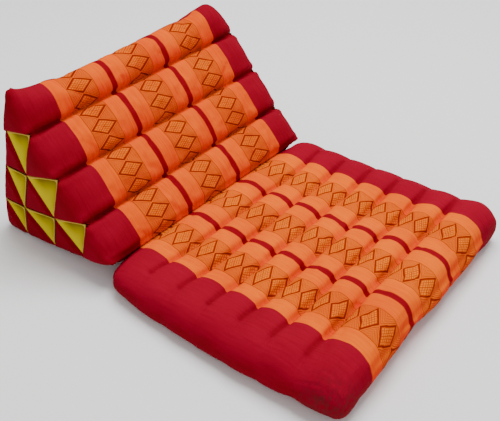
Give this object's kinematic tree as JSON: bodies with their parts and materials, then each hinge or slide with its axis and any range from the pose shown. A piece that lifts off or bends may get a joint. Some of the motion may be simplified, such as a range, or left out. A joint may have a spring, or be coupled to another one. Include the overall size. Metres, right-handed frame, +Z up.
{
  "type": "thai triangle cushion",
  "caption": "Triangular back-rest cushion of stuffed tubes, sewn to a quilted fold-out seat mat with cross channels, lying open on the floor.",
  "frame": {"origin": "centre of the footprint, on the floor that the mat and the wedge lie on", "axes": "+Z up; +Y towards the back of the wedge, -Y towards the free front edge of the mat; X across the cushion, along the rolls"},
  "size_m": [0.5594, 0.747, 0.3005],
  "materials": {
    "red_cotton": "plain woven cotton, matt",
    "band_cloth": "woven cotton with cross bands and diamonds, matt",
    "yellow_cotton": "plain woven cotton, matt"
  },
  "bodies": {
    "root": {"seat_mat": "band_cloth", "roll_1": "band_cloth", "roll_2": "band_cloth", "roll_3": "band_cloth", "roll_4": "band_cloth", "tube_2_1": "red_cotton", "tube_3_1": "red_cotton", "tube_3_2": "red_cotton", "tube_4_1": "red_cotton", "tube_4_2": "red_cotton", "tube_4_3": "red_cotton", "gusset_left_2_1": "yellow_cotton", "gusset_left_3_1": "yellow_cotton", "gusset_left_3_2": "yellow_cotton", "gusset_left_4_1": "yellow_cotton", "gusset_left_4_2": "yellow_cotton", "gusset_left_4_3": "yellow_cotton", "gusset_right_2_1": "yellow_cotton", "gusset_right_3_1": "yellow_cotton", "gusset_right_3_2": "yellow_cotton", "gusset_right_4_1": "yellow_cotton", "gusset_right_4_2": "yellow_cotton", "gusset_right_4_3": "yellow_cotton"}
  },
  "joints": []
}
